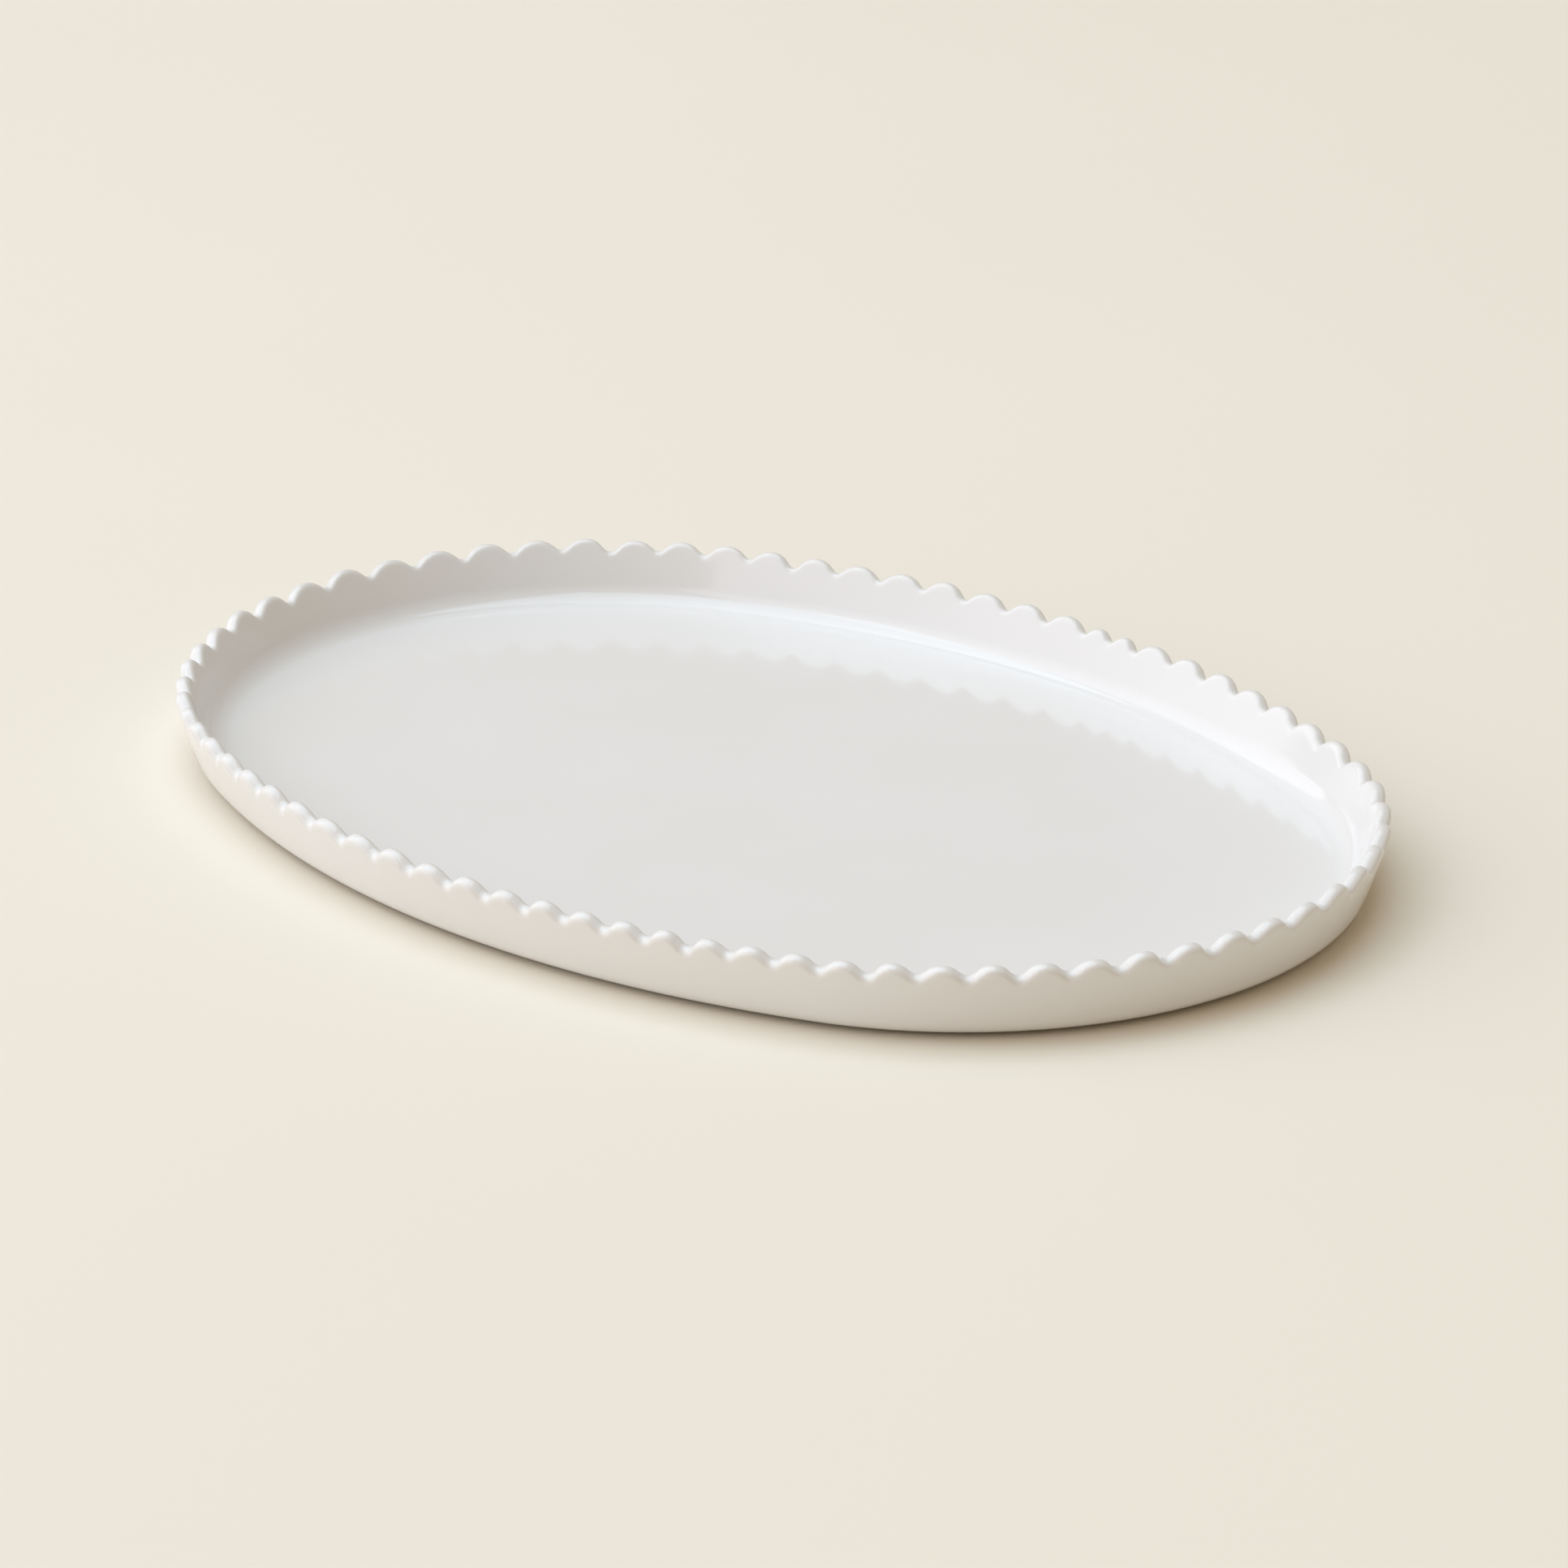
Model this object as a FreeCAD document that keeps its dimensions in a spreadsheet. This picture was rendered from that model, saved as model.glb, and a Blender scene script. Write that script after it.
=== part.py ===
"""Oval serving platter in white-glazed stoneware, with a hand-cut scalloped rim.

The platter is one fired piece: a clay body, a foot ring luted on under it, and the glassy
glaze that covers everything but the foot ring.  Its outline is a four-centre oval, so every
line that runs around it (rim, wall, cove, foot) is the same oval moved in by a fixed
distance.  The X axis runs along the platter, Z is up, and the origin is the middle of the
plane that it stands on.  Lengths are in millimetres and angles in degrees.
"""
import FreeCAD, Part
import math
import os

import Sketcher
from FreeCAD import Vector

# The driving sizes.  Each can be set by itself; everything else is worked out from them.
SIZES = [
    # the outline, over the glaze
    ("overall_length", 406.0),
    ("overall_width", 286.0),
    ("shoulder", 16.3),             # how much tighter than half the width the ends are
    # the section through the wall, over the glaze
    ("overall_height", 24.6),       # to the tips of the scallops
    ("rim_thickness", 4.6),
    ("wall_lean", 20.5),            # angle from upright, outwards
    ("cove_radius", 9.0),           # where the wall meets the floor of the well
    ("underturn_radius", 6.5),      # where the wall turns in under the platter
    ("floor_thickness", 4.8),
    # the foot ring
    ("foot_height", 1.2),
    ("foot_width", 6.0),
    ("foot_inset", 22.0),           # from the rim's outer edge to the ring's outer face
    ("foot_edge_radius", 0.5),
    # the scallops, cut by hand and so not all of one width
    ("scallop_count", 72.0),
    ("scallop_depth", 3.8),
    ("valley_radius", 3.0),
    ("scallop_start", -10.4),       # along the rim, from the +X end to the first valley
    ("narrow_count", 2.0),
    ("narrow_first", 16.0),
    ("narrow_width", 11.0),
    ("waver_one", 0.069),           # how much the widths swell and shrink once around,
    ("waver_one_peak", 19.0),       # and the scallop that is widest
    ("waver_two", 0.036),           # the same for twice around
    ("waver_two_peak", 5.9),
    ("waver_three", 0.048),         # for three times
    ("waver_three_peak", 5.9),
    ("waver_four", 0.031),          # for four
    ("waver_four_peak", 15.8),
    ("waver_five", 0.039),          # and for five
    ("waver_five_peak", 6.4),
    # the glaze
    ("glaze_thickness", 0.45),
]

# How the solids are drawn and cut; none of these shows on the finished platter.
SECTION_REACH = 40.0        # how far in the swept wall section goes, from the rim's edge
SECTION_LAP = 6.0           # how far the floor slab runs into it
AXIS_LENGTH = 30.0          # of the line that stands for a turning axis
LOBE_CROWN = 0.05           # how far a lobe's arc would rise over the rim
CUTTER_RISE = 2.0           # how far a notch cutter stands over the rim
CUTTER_MARGIN = 2.0         # and past each face of the wall
BLOCK_MARGIN = 1.0          # how far the block that clears the foot reaches down

doc = FreeCAD.newDocument("serving_platter")


def make_sheet():
    """The driving sizes, one to a row, each cell with its name as its alias."""
    sheet = doc.addObject("Spreadsheet::Sheet", "sizes")
    for row, (name, value) in enumerate(SIZES, start=1):
        sheet.set(f"A{row}", name)
        sheet.set(f"B{row}", str(value))
        sheet.setAlias(f"B{row}", name)
    doc.recompute()
    return sheet


sheet = make_sheet()


def size(name):
    """The value of one driving size."""
    return float(sheet.get(name))


# ---------------------------------------------------------------- the four-centre oval

def oval(inset):
    """Radii and centres of the rim's oval, moved in by inset, and where its arcs join."""
    half_length = size("overall_length") / 2
    half_width = size("overall_width") / 2
    end = half_width - size("shoulder")
    end_centre = half_length - end
    side = (end_centre ** 2 + half_width ** 2 - end ** 2) / (2 * size("shoulder"))
    side_centre = side - half_width
    return {
        "end": end - inset,
        "side": side - inset,
        "end_centre": end_centre,
        "side_centre": side_centre,
        "joint": math.atan2(side_centre, end_centre),
    }


# the same radii, and the distance from the middle to an end arc's centre, for the sketches
END_RADIUS = "(sizes.overall_width / 2 - sizes.shoulder)"
END_CENTRE = f"(sizes.overall_length / 2 - {END_RADIUS})"
SIDE_RADIUS = (
    f"(({END_CENTRE}^2 + (sizes.overall_width / 2)^2 - {END_RADIUS}^2)"
    " / (2 * sizes.shoulder))"
)

# the angle, seen from an end arc's centre, at which it gives way to a side arc
JOINT_ANGLE = f"atan2({SIDE_RADIUS} - sizes.overall_width / 2; {END_CENTRE})"


def oval_length(inset):
    """Distance around the oval."""
    shape = oval(inset)
    quarter = shape["end"] * shape["joint"]
    quarter += shape["side"] * (math.pi / 2 - shape["joint"])
    return 4 * quarter


def oval_at(distance, inset):
    """Point and outward direction at a distance around the oval from its +X end."""
    shape = oval(inset)
    quarter = oval_length(inset) / 4
    turn, along = divmod(distance, quarter)
    turn = int(turn) % 4
    if turn % 2 == 1:
        along = quarter - along
    end_run = shape["end"] * shape["joint"]
    if along <= end_run:
        angle = along / shape["end"]
        x = shape["end_centre"] + shape["end"] * math.cos(angle)
        y = shape["end"] * math.sin(angle)
    else:
        angle = shape["joint"] + (along - end_run) / shape["side"]
        x = shape["side"] * math.cos(angle)
        y = shape["side"] * math.sin(angle) - shape["side_centre"]
    flip_x = 1 if turn in (0, 3) else -1
    flip_y = 1 if turn in (0, 1) else -1
    point = Vector(flip_x * x, flip_y * y, 0)
    outward = Vector(flip_x * math.cos(angle), flip_y * math.sin(angle), 0)
    return point, outward


# ---------------------------------------------------------------- sketches

def origin_plane(body, role):
    """One of a body's own origin planes."""
    for feature in body.Origin.OriginFeatures:
        if feature.Role == role:
            return feature
    raise ValueError(f"{body.Name} has no {role}")


def new_body(label):
    body = doc.addObject("PartDesign::Body", label)
    body.Label = label
    return body


def new_sketch(body, name, role):
    sketch = body.newObject("Sketcher::SketchObject", name)
    sketch.AttachmentSupport = [(origin_plane(body, role), "")]
    sketch.MapMode = "FlatFace"
    return sketch


def constrain(sketch, kind, *where, formula=None):
    """Add one constraint, and bind its value where it has one."""
    index = sketch.addConstraint(Sketcher.Constraint(kind, *where))
    if formula is not None:
        sketch.setExpression(f"Constraints[{index}]", formula)
    return index


def draw_oval(sketch, inset, formula):
    """The oval as five arcs, the first and last meeting at the +X end."""
    shape = oval(inset)
    joint = math.degrees(shape["joint"])
    arcs = [
        (Vector(shape["end_centre"], 0, 0), shape["end"], 0, joint),
        (Vector(0, -shape["side_centre"], 0), shape["side"], joint, 180 - joint),
        (Vector(-shape["end_centre"], 0, 0), shape["end"], 180 - joint, 180 + joint),
        (Vector(0, shape["side_centre"], 0), shape["side"], 180 + joint, 360 - joint),
        (Vector(shape["end_centre"], 0, 0), shape["end"], 360 - joint, 360),
    ]
    first = sketch.GeometryCount
    for centre, radius, start, stop in arcs:
        circle = Part.Circle(centre, Vector(0, 0, 1), radius)
        arc = Part.ArcOfCircle(circle, math.radians(start), math.radians(stop))
        sketch.addGeometry(arc, False)
    right, back, left, front, last = range(first, first + 5)
    for before, after in ((right, back), (back, left), (left, front), (front, last)):
        constrain(sketch, "Tangent", before, 2, after, 1)
    constrain(sketch, "Coincident", last, 2, right, 1)
    constrain(sketch, "Coincident", last, 3, right, 3)
    constrain(sketch, "PointOnObject", right, 3, -1)
    constrain(sketch, "PointOnObject", right, 1, -1)
    constrain(sketch, "PointOnObject", back, 3, -2)
    constrain(sketch, "PointOnObject", front, 3, -2)
    constrain(sketch, "Equal", right, left)
    constrain(sketch, "Equal", back, front)
    half = size("overall_length") / 2 - inset
    constrain(sketch, "DistanceX", -1, 1, right, 1, half,
              formula=f"sizes.overall_length / 2 - ({formula})")
    constrain(sketch, "Radius", right, shape["end"],
              formula=f"{END_RADIUS} - ({formula})")
    constrain(sketch, "Radius", back, shape["side"],
              formula=f"{SIDE_RADIUS} - ({formula})")


def draw_section(sketch, coat, coat_formula, edge, axis, axis_formula):
    """Section of the wall, its cove and the rim of the floor, and the axis it turns about.

    edge names the overall size across which the section is drawn, and axis is the place of
    the axis on that line.  coat is how far the surface lies inside the glazed surface.
    """
    half = size(edge) / 2
    half_formula = f"sizes.{edge} / 2"
    lean = math.radians(size("wall_lean"))
    out = Vector(math.cos(lean), -math.sin(lean), 0)
    down = Vector(-math.sin(lean), -math.cos(lean), 0)
    crest = size("rim_thickness") / 2
    underturn = size("underturn_radius")
    cove = size("cove_radius")
    bottom = size("foot_height")
    top = bottom + size("floor_thickness")
    inner_end = half - SECTION_REACH

    crest_centre = Vector(half - crest, size("overall_height") - crest, 0)
    # down each face of the wall, as far as the arc that ends it
    drop = (crest_centre.y - crest * math.sin(lean)) - (bottom + underturn * (1 - math.sin(lean)))
    outer_foot = crest_centre + out * crest + down * (drop / math.cos(lean))
    under_centre = outer_foot - out * underturn
    drop = (crest_centre.y + crest * math.sin(lean)) - (top + cove * (1 - math.sin(lean)))
    inner_foot = crest_centre - out * crest + down * (drop / math.cos(lean))
    cove_centre = inner_foot - out * cove

    crest -= coat
    underturn -= coat
    cove += coat
    bottom += coat
    top -= coat
    leaning = -size("wall_lean")

    def arc(centre, radius, start, stop):
        circle = Part.Circle(centre, Vector(0, 0, 1), radius)
        return Part.ArcOfCircle(circle, math.radians(start), math.radians(stop))

    under_start = Vector(under_centre.x, bottom, 0)
    under_stop = under_centre + out * underturn
    cove_start = Vector(cove_centre.x, top, 0)
    cove_stop = cove_centre + out * cove
    outer_top = crest_centre + out * crest
    inner_top = crest_centre - out * crest
    pieces = [
        Part.LineSegment(Vector(inner_end, bottom, 0), under_start),
        arc(under_centre, underturn, -90, leaning),
        Part.LineSegment(under_stop, outer_top),
        arc(crest_centre, crest, leaning, 180 + leaning),
        Part.LineSegment(inner_top, cove_stop),
        arc(cove_centre, cove, -90, leaning),
        Part.LineSegment(cove_start, Vector(inner_end, top, 0)),
        Part.LineSegment(Vector(inner_end, top, 0), Vector(inner_end, bottom, 0)),
    ]
    for piece in pieces:
        sketch.addGeometry(piece, False)
    under_line, under_arc, outer_line, crest_arc, inner_line, cove_arc, floor_line, inner = range(8)
    constrain(sketch, "Tangent", under_line, 2, under_arc, 1)
    constrain(sketch, "Tangent", under_arc, 2, outer_line, 1)
    constrain(sketch, "Tangent", outer_line, 2, crest_arc, 1)
    constrain(sketch, "Tangent", crest_arc, 2, inner_line, 1)
    constrain(sketch, "Tangent", inner_line, 2, cove_arc, 2)
    constrain(sketch, "Tangent", cove_arc, 1, floor_line, 1)
    constrain(sketch, "Coincident", floor_line, 2, inner, 1)
    constrain(sketch, "Coincident", inner, 2, under_line, 1)
    constrain(sketch, "Horizontal", under_line)
    constrain(sketch, "Horizontal", floor_line)
    constrain(sketch, "Vertical", inner)
    constrain(sketch, "Parallel", outer_line, inner_line)
    constrain(sketch, "DistanceX", -1, 1, inner, 1, inner_end,
              formula=f"{half_formula} - {SECTION_REACH}")
    constrain(sketch, "DistanceY", -1, 1, under_line, 1, bottom,
              formula=f"sizes.foot_height + {coat_formula}")
    constrain(sketch, "DistanceY", -1, 1, floor_line, 2, top,
              formula=f"sizes.foot_height + sizes.floor_thickness - {coat_formula}")
    constrain(sketch, "DistanceX", -1, 1, crest_arc, 3, crest_centre.x,
              formula=f"{half_formula} - sizes.rim_thickness / 2")
    constrain(sketch, "DistanceY", -1, 1, crest_arc, 3, crest_centre.y,
              formula="sizes.overall_height - sizes.rim_thickness / 2")
    constrain(sketch, "Radius", under_arc, underturn,
              formula=f"sizes.underturn_radius - {coat_formula}")
    constrain(sketch, "Radius", cove_arc, cove,
              formula=f"sizes.cove_radius + {coat_formula}")
    constrain(sketch, "Radius", crest_arc, crest,
              formula=f"sizes.rim_thickness / 2 - {coat_formula}")
    constrain(sketch, "Angle", outer_line, math.pi / 2 - lean,
              formula="90 deg - sizes.wall_lean * 1 deg")
    centre_line = Part.LineSegment(Vector(axis, 0, 0), Vector(axis, AXIS_LENGTH, 0))
    turning = sketch.addGeometry(centre_line, True)
    constrain(sketch, "Vertical", turning)
    constrain(sketch, "PointOnObject", turning, 1, -1)
    constrain(sketch, "DistanceY", turning, 1, turning, 2, AXIS_LENGTH)
    constrain(sketch, "DistanceX", -1, 1, turning, 1, axis, formula=axis_formula)


# ---------------------------------------------------------------- the form without notches

def turn_section(body, sketch, angle, angle_formula, mirror_role):
    """Turn a section about its axis, half to each side, and repeat it opposite."""
    sector = body.newObject("PartDesign::Revolution", f"{sketch.Name}_sector")
    sector.Profile = sketch
    sector.ReferenceAxis = (sketch, ["Axis0"])
    sector.Midplane = True
    sector.Angle = angle
    sector.setExpression("Angle", angle_formula)
    doc.recompute()
    opposite = body.newObject("PartDesign::Mirrored", f"{sketch.Name}_opposite")
    opposite.Originals = [sector]
    opposite.MirrorPlane = (origin_plane(body, mirror_role), [""])
    body.Tip = opposite
    doc.recompute()


def make_form(label, coat, coat_formula):
    """The whole platter, foot ring apart, with a plain rim.

    The form with no coat is the glazed surface; one glaze thickness in, it is the clay.
    """
    body = new_body(label)
    shape = oval(0)
    floor_line = new_sketch(body, f"{label}_floor_line", "XY_Plane")
    floor_line.setExpression("AttachmentOffset.Base.z", f"sizes.foot_height + {coat_formula}")
    draw_oval(floor_line, SECTION_REACH - SECTION_LAP, f"{SECTION_REACH} - {SECTION_LAP}")
    end_section = new_sketch(body, f"{label}_end", "XZ_Plane")
    draw_section(end_section, coat, coat_formula, "overall_length", shape["end_centre"],
                 END_CENTRE)
    side_section = new_sketch(body, f"{label}_side", "YZ_Plane")
    draw_section(side_section, coat, coat_formula, "overall_width", -shape["side_centre"],
                 f"sizes.overall_width / 2 - {SIDE_RADIUS}")
    doc.recompute()

    floor = body.newObject("PartDesign::Pad", f"{label}_floor")
    floor.Profile = floor_line
    floor.setExpression("Length", f"sizes.floor_thickness - 2 * {coat_formula}")
    doc.recompute()
    joint = math.degrees(shape["joint"])
    turn_section(body, end_section, 2 * joint, f"2 * {JOINT_ANGLE}", "YZ_Plane")
    turn_section(body, side_section, 180 - 2 * joint, f"180 deg - 2 * {JOINT_ANGLE}",
                 "XZ_Plane")
    return body


# ---------------------------------------------------------------- the scallops

WAVERS = ["waver_one", "waver_two", "waver_three", "waver_four", "waver_five"]


def scallop_widths():
    """Width of each scallop along the rim, in order from the first valley."""
    count = int(size("scallop_count"))
    narrow_first = int(size("narrow_first"))
    narrow = range(narrow_first, narrow_first + int(size("narrow_count")))
    shares = []
    for index in range(count):
        share = 1.0
        for times, name in enumerate(WAVERS, start=1):
            turns = times * (index - size(f"{name}_peak")) / count
            share += size(name) * math.cos(2 * math.pi * turns)
        shares.append(0.0 if index in narrow else share)
    around = oval_length(size("rim_thickness") / 2)
    unit = (around - len(narrow) * size("narrow_width")) / sum(shares)
    return [size("narrow_width") if index in narrow else share * unit
            for index, share in enumerate(shares)]


def lobe_radius(width):
    """Radius of the arc over a scallop that drops by the full depth at its valleys."""
    drop = size("scallop_depth") + LOBE_CROWN
    return ((width / 2) ** 2 + drop ** 2) / (2 * drop) - size("valley_radius")


def notch_outline(width_before, width_after, coat):
    """Outline of one notch, seen from inside the platter: distance along the rim, height.

    Half of the scallop on each side and the rounded valley between them.
    """
    top = size("overall_height")
    valley = Vector(0, top - size("scallop_depth") + size("valley_radius"), 0)
    valley_reach = size("valley_radius") + coat
    arcs = []
    for side, width in ((-1, width_before), (1, width_after)):
        radius = lobe_radius(width)
        centre = Vector(side * width / 2, top + LOBE_CROWN - radius, 0)
        radius -= coat
        towards = (centre - valley).normalize()
        foot = valley + towards * valley_reach
        half_flat = math.sqrt(radius ** 2 - (radius - LOBE_CROWN) ** 2)
        crown = centre + Vector(-side * half_flat, radius - LOBE_CROWN, 0)
        middle = ((foot - centre).normalize() + (crown - centre).normalize()).normalize()
        arcs.append((crown, centre + middle * radius, foot))
    left, right = arcs
    bottom = valley - Vector(0, valley_reach, 0)
    high = top + CUTTER_RISE
    corners = [Vector(right[0].x, high, 0), Vector(left[0].x, high, 0)]
    return [
        Part.Arc(*left).toShape(),
        Part.Arc(left[2], bottom, right[2]).toShape(),
        Part.Arc(right[2], right[1], right[0]).toShape(),
        Part.makeLine(right[0], corners[0]),
        Part.makeLine(corners[0], corners[1]),
        Part.makeLine(corners[1], left[0]),
    ]


def make_notches(label, coat):
    """The solids that cut the scallops into the rim, one for each valley."""
    inset = size("rim_thickness") / 2
    lean_run = size("scallop_depth") * math.tan(math.radians(size("wall_lean")))
    reach_in = inset + lean_run + CUTTER_MARGIN
    reach_out = inset + CUTTER_MARGIN
    widths = scallop_widths()
    around = oval_length(inset)
    distance = size("scallop_start")
    notches = []
    for index, width in enumerate(widths):
        outline = Part.Wire(notch_outline(widths[index - 1], width, coat))
        point, outward = oval_at(distance % around, inset)
        along = Vector(-outward.y, outward.x, 0)
        start = point - outward * reach_in
        outline.Placement = FreeCAD.Placement(FreeCAD.Matrix(
            along.x, 0, outward.x, start.x,
            along.y, 0, outward.y, start.y,
            0, 1, 0, 0,
            0, 0, 0, 1,
        ))
        notches.append(Part.Face(outline).extrude(outward * (reach_in + reach_out)))
        distance += width
    cutter = doc.addObject("Part::Feature", label)
    cutter.Shape = Part.makeCompound(notches)
    return cutter


# ---------------------------------------------------------------- the pieces

def cut(label, base, tool):
    feature = doc.addObject("Part::Cut", label)
    feature.Label = label
    feature.Base = base
    feature.Tool = tool
    doc.recompute()
    return feature


def make_oval_pad(label, inset, inset_formula, bottom_formula, height_formula, hole=None):
    """A flat oval slab, with an oval hole where hole gives that oval's inset and formula."""
    body = new_body(label)
    outline = new_sketch(body, f"{label}_outline", "XY_Plane")
    outline.setExpression("AttachmentOffset.Base.z", bottom_formula)
    draw_oval(outline, inset, inset_formula)
    if hole is not None:
        draw_oval(outline, *hole)
    doc.recompute()
    pad = body.newObject("PartDesign::Pad", f"{label}_pad")
    pad.Profile = outline
    pad.setExpression("Length", height_formula)
    doc.recompute()
    return body


def make_clay_body():
    """Floor and wall: one slab pressed over a mould, its rim then cut into scallops."""
    form = make_form("clay_form", size("glaze_thickness"), "sizes.glaze_thickness")
    notches = make_notches("clay_notches", size("glaze_thickness"))
    return cut("clay_body", form, notches)


def make_foot_ring():
    """The unglazed ring that the platter stands on, luted to the underside."""
    outer = size("foot_inset")
    inner = outer + size("foot_width")
    body = make_oval_pad("foot_ring", outer, "sizes.foot_inset", "0",
                         "sizes.foot_height + sizes.glaze_thickness",
                         hole=(inner, "sizes.foot_inset + sizes.foot_width"))
    pad = body.Tip
    lower_edges = [
        f"Edge{number}" for number, edge in enumerate(pad.Shape.Edges, start=1)
        if edge.BoundBox.ZMax < size("foot_height") / 2
    ]
    rounding = body.newObject("PartDesign::Fillet", "foot_ring_rounding")
    rounding.Base = (pad, lower_edges)
    rounding.setExpression("Radius", "sizes.foot_edge_radius")
    doc.recompute()
    return body


def make_outer_glaze(clay_body):
    """The glaze over the well, the rim and the wall, down to the foot ring's outer face."""
    form = make_form("glaze_form", 0, "0")
    notches = make_notches("glaze_notches", 0)
    scalloped = cut("glaze_outside", form, notches)
    shell = cut("glaze_shell", scalloped, clay_body)
    foot_block = make_oval_pad("foot_block", size("foot_inset"), "sizes.foot_inset",
                               f"sizes.foot_height - {BLOCK_MARGIN}",
                               f"sizes.glaze_thickness + {BLOCK_MARGIN}")
    return cut("outer_glaze", shell, foot_block)


def make_base_glaze():
    """The glaze on the underside, inside the foot ring."""
    return make_oval_pad("base_glaze", size("foot_inset") + size("foot_width"),
                         "sizes.foot_inset + sizes.foot_width",
                         "sizes.foot_height", "sizes.glaze_thickness")


def check(pieces):
    """Stop if any object failed to build, or a piece is empty or broken."""
    for feature in doc.Objects:
        failed = {"Invalid", "Error"} & set(feature.State)
        if failed:
            raise RuntimeError(f"{feature.Label}: {', '.join(failed)}")
    for piece in pieces:
        shape = piece.Shape
        if shape.isNull() or not shape.isValid() or len(shape.Solids) != 1:
            raise RuntimeError(f"{piece.Label} is not one whole solid")
        box = shape.optimalBoundingBox(False)
        print(f"{piece.Label}: {shape.Volume / 1000:.1f} cm3,"
              f" {box.XLength:.2f} x {box.YLength:.2f} x {box.ZLength:.2f} mm")


def main():
    clay_body = make_clay_body()
    pieces = [clay_body, make_foot_ring(), make_outer_glaze(clay_body), make_base_glaze()]
    doc.recompute()
    check(pieces)
    os.makedirs("parts", exist_ok=True)
    for piece in pieces:
        piece.Shape.exportStep(f"parts/{piece.Label}.step")


main()
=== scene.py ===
"""Oval serving platter in white-glazed stoneware with a hand-cut scalloped rim.

The glaze and the clay under it are swept, ring by ring, along the same four-centre oval as
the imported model.  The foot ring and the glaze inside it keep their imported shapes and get
their finishes here.  Lengths are in metres.
"""

import math

import bmesh
import bpy
from bpy.props import (
    FloatProperty,
    FloatVectorProperty,
    IntProperty,
    PointerProperty,
)
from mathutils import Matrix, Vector, noise


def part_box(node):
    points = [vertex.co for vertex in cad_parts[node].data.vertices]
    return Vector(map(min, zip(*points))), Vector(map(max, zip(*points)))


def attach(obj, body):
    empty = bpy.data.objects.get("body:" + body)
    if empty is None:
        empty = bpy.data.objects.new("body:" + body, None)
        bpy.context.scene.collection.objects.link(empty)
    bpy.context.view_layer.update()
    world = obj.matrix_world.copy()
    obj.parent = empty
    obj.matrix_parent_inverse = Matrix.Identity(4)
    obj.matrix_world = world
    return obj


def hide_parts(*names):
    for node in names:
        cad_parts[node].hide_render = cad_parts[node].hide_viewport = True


bl_info = {
    "name": "Scalloped Serving Platter",
    "version": (1, 0, 0),
    "blender": (4, 5, 0),
    "location": "View3D > Sidebar > Platter",
    "description": "Builds a glazed oval platter, its bare foot ring and a soft daylight set",
    "category": "Add Mesh",
}

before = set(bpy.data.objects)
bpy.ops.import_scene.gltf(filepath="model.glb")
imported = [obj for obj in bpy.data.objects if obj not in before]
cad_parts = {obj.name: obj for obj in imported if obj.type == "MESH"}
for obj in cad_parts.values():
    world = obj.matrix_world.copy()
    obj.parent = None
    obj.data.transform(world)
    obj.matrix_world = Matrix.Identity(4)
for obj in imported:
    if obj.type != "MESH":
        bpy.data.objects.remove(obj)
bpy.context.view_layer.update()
GLAZE_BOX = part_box("outer_glaze")
MM = 0.001


# ---------------------------------------------------------------- sizes and colours

def length(name, description, default_mm, low_mm=0.0):
    """A length that the sidebar shows in the scene's own unit."""
    return FloatProperty(
        name=name, description=description, default=default_mm * MM, min=low_mm * MM,
        unit="LENGTH", precision=5,
    )


def angle(name, description, degrees):
    return FloatProperty(
        name=name, description=description, default=math.radians(degrees), unit="ROTATION",
    )


def share(name, description, default):
    return FloatProperty(name=name, description=description, default=default, min=0.0,
                         soft_max=1.0)


def colour(name, description, default):
    return FloatVectorProperty(
        name=name, description=description, default=default, subtype="COLOR", size=3,
        min=0.0, max=1.0,
    )


class PlatterSizes(bpy.types.PropertyGroup):
    """The platter's own sizes, over the glaze."""
    overall_length: length("Length", "Rim to rim along the platter",
                           (GLAZE_BOX[1].x - GLAZE_BOX[0].x) / MM)
    overall_width: length("Width", "Rim to rim across the platter",
                          (GLAZE_BOX[1].y - GLAZE_BOX[0].y) / MM)
    overall_height: length("Height", "Table to the scallop tips", GLAZE_BOX[1].z / MM)
    shoulder: length("Shoulder", "How much tighter than half the width the ends are", 16.3)
    rim_thickness: length("Rim thickness", "Thickness of the wall at the rim", 4.6)
    rim_squareness: FloatProperty(
        name="Rim squareness", description="2 is a half-round rim, more is flatter on top",
        default=2.4, min=2.0, max=8.0)
    wall_lean: angle("Wall lean", "Outward lean of the wall from upright", 20.5)
    cove_radius: length("Cove radius", "Curve where the wall meets the well", 9.0)
    underturn_radius: length("Underturn radius", "Curve where the wall turns in below", 6.5)
    floor_thickness: length("Floor thickness", "Thickness of the well's floor", 4.8)
    foot_height: length("Foot height", "Gap between the table and the glaze", 1.2)
    foot_inset: length("Foot inset", "From the rim's edge to the foot ring", 22.0)
    glaze_thickness: length("Glaze thickness", "Thickness of the glaze", 0.45)


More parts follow.
